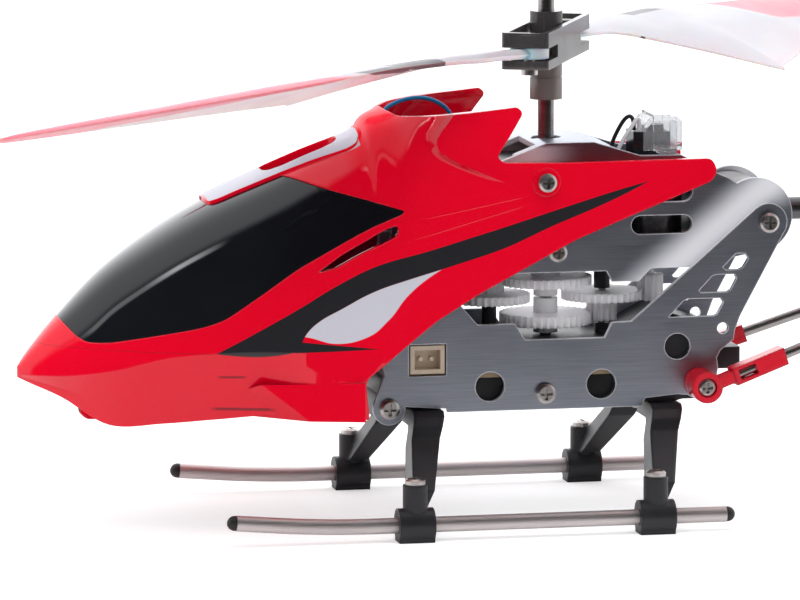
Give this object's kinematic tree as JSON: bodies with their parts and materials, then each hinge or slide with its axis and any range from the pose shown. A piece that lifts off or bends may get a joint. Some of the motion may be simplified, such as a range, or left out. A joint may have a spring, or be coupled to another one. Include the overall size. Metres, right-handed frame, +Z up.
{
  "type": "remote control helicopter",
  "caption": "Small indoor remote control helicopter with coaxial folding rotors, flybar, geared metal frame, moulded canopy, skids and a tail rotor.",
  "frame": {"origin": "under the middle of the whole part, at the height that the skids rest on", "axes": "+X toward the nose, +Y to the left side, +Z up"},
  "size_m": [0.2285, 0.1396, 0.0935],
  "materials": {
    "canopy_red": "gloss paint with fine metal flake",
    "window_black": "polished black",
    "plate_metal": "brushed sheet with bright edges",
    "frame_black": "satin moulded",
    "battery_wrap": "shrink wrap",
    "board_tan": "bare laminate",
    "socket_cream": "moulded",
    "switch_black": "moulded",
    "motor_steel": "drawn can",
    "steel": "drawn",
    "skid_steel": "drawn tube",
    "cap_black": "moulded",
    "screw_steel": "nickel plated",
    "boom_grey": "dark anodised",
    "trim_red": "moulded",
    "cover_clear": "clear plastic",
    "receiver_black": "moulded",
    "wire_black": "wire sleeve",
    "wire_blue": "wire sleeve",
    "gear_white": "natural nylon",
    "grip_smoke": "smoke tinted",
    "blade_white": "flexible plastic"
  },
  "bodies": {
    "airframe": {"canopy": "canopy_red", "windshield": "window_black", "upper_frame": "plate_metal", "lower_plate_left": "plate_metal", "lower_plate_right": "plate_metal", "gear_deck": "frame_black", "lower_tray": "frame_black", "battery": "battery_wrap", "circuit_board": "board_tan", "charge_socket": "socket_cream", "power_switch": "switch_black", "front_motor": "motor_steel", "rear_motor": "motor_steel", "gear_pins": "steel", "leg_front_left": "frame_black", "leg_front_right": "frame_black", "leg_rear_left": "frame_black", "leg_rear_right": "frame_black", "skid_tube_left": "skid_steel", "skid_tube_right": "skid_steel", "skid_caps": "cap_black", "skid_screws": "screw_steel", "frame_screws": "screw_steel", "tail_boom": "boom_grey", "support_rod_left": "steel", "support_rod_right": "steel", "support_clip_left": "trim_red", "support_clip_right": "trim_red", "support_screws": "screw_steel", "tail_clamp": "trim_red", "horizontal_fin": "trim_red", "vertical_fin": "trim_red", "tail_motor": "motor_steel", "tail_mount": "frame_black", "ir_cover": "cover_clear", "ir_receiver": "receiver_black", "ir_wires": "wire_black", "blue_wire": "wire_blue"},
    "switch": {"switch_slider": "switch_black"},
    "lower_rotor": {"outer_shaft": "steel", "upper_main_gear": "gear_white", "lower_grip": "grip_smoke", "lower_blade_screws": "screw_steel"},
    "lower_blade_front": {"lower_blade_a": "blade_white"},
    "lower_blade_back": {"lower_blade_b": "blade_white"},
    "upper_rotor": {"inner_shaft": "steel", "lower_main_gear": "gear_white", "rotor_hub": "frame_black"},
    "upper_head": {"upper_grip": "grip_smoke", "upper_blade_screws": "screw_steel"},
    "upper_blade_one": {"upper_blade_a": "blade_white"},
    "upper_blade_two": {"upper_blade_b": "blade_white"},
    "stabiliser": {"flybar": "frame_black"},
    "link_one": {"rotor_link_a": "frame_black"},
    "link_two": {"rotor_link_b": "frame_black"},
    "front_wheel": {"front_compound": "gear_white"},
    "rear_wheel": {"rear_compound": "gear_white"},
    "front_drive": {"front_pinion": "gear_white"},
    "rear_drive": {"rear_pinion": "gear_white"},
    "tail_prop": {"tail_rotor": "frame_black"}
  },
  "joints": [
    {"name": "lower_rotor_spin", "type": "hinge", "parent": "airframe", "child": "lower_rotor", "pos_m": [0.0325, 0, 0.06], "axis": [0, 0, 1], "continuous": true},
    {"name": "upper_rotor_spin", "type": "hinge", "parent": "airframe", "child": "upper_rotor", "pos_m": [0.0325, 0, 0.06], "axis": [0, 0, 1], "continuous": true},
    {"name": "lower_blade_front_fold", "type": "hinge", "parent": "lower_rotor", "child": "lower_blade_front", "pos_m": [0.03694, 0.00952, 0.06335], "axis": [0, 0, 1], "range_deg": [-34, 116]},
    {"name": "lower_blade_back_fold", "type": "hinge", "parent": "lower_rotor", "child": "lower_blade_back", "pos_m": [0.02806, -0.00952, 0.06335], "axis": [0, 0, 1], "range_deg": [-52, 98]},
    {"name": "flybar_tilt", "type": "hinge", "parent": "upper_rotor", "child": "stabiliser", "pos_m": [0.0325, 0, 0.0915], "axis": [-0.6947, 0.7193, 0], "range_deg": [-10, 10]},
    {"name": "upper_head_tilt", "type": "hinge", "parent": "upper_rotor", "child": "upper_head", "pos_m": [0.0325, 0, 0.084], "axis": [-0.6947, 0.7193, 0], "range_deg": [-10, 10]},
    {"name": "link_one_swing", "type": "hinge", "parent": "stabiliser", "child": "link_one", "pos_m": [0.025, -0.00001, 0.0915], "axis": [-0.6947, 0.7193, 0], "range_deg": [-10, 10]},
    {"name": "link_two_swing", "type": "hinge", "parent": "stabiliser", "child": "link_two", "pos_m": [0.04, 0.00001, 0.0915], "axis": [-0.6947, 0.7193, 0], "range_deg": [-10, 10]},
    {"name": "upper_blade_one_fold", "type": "hinge", "parent": "upper_head", "child": "upper_blade_one", "pos_m": [0.02521, 0.00755, 0.084], "axis": [0, 0, 1], "range_deg": [-75, 75]},
    {"name": "upper_blade_two_fold", "type": "hinge", "parent": "upper_head", "child": "upper_blade_two", "pos_m": [0.03979, -0.00755, 0.084], "axis": [0, 0, 1], "range_deg": [-75, 75]},
    {"name": "front_wheel_spin", "type": "hinge", "parent": "airframe", "child": "front_wheel", "pos_m": [0.0403, 0, 0.029], "axis": [0, 0, 1], "continuous": true},
    {"name": "rear_wheel_spin", "type": "hinge", "parent": "airframe", "child": "rear_wheel", "pos_m": [0.0247, 0, 0.029], "axis": [0, 0, 1], "continuous": true},
    {"name": "front_drive_spin", "type": "hinge", "parent": "airframe", "child": "front_drive", "pos_m": [0.04705, 0, 0.03], "axis": [0, 0, 1], "continuous": true},
    {"name": "rear_drive_spin", "type": "hinge", "parent": "airframe", "child": "rear_drive", "pos_m": [0.01795, 0, 0.03], "axis": [0, 0, 1], "continuous": true},
    {"name": "tail_prop_spin", "type": "hinge", "parent": "airframe", "child": "tail_prop", "pos_m": [-0.1006, 0, 0.048], "axis": [0, 0, 1], "continuous": true},
    {"name": "switch_slide", "type": "slide", "parent": "airframe", "child": "switch", "axis": [1, 0, 0], "range_m": [0, 0.002]}
  ],
  "couplings": [
    {"joint": "front_wheel_spin", "follows": "lower_rotor_spin", "ratio": -3.3333},
    {"joint": "front_drive_spin", "follows": "lower_rotor_spin", "ratio": 11.667},
    {"joint": "rear_wheel_spin", "follows": "upper_rotor_spin", "ratio": -3.3333},
    {"joint": "rear_drive_spin", "follows": "upper_rotor_spin", "ratio": 11.667},
    {"joint": "upper_head_tilt", "follows": "flybar_tilt", "ratio": 1},
    {"joint": "link_one_swing", "follows": "flybar_tilt", "ratio": -1},
    {"joint": "link_two_swing", "follows": "flybar_tilt", "ratio": -1}
  ]
}
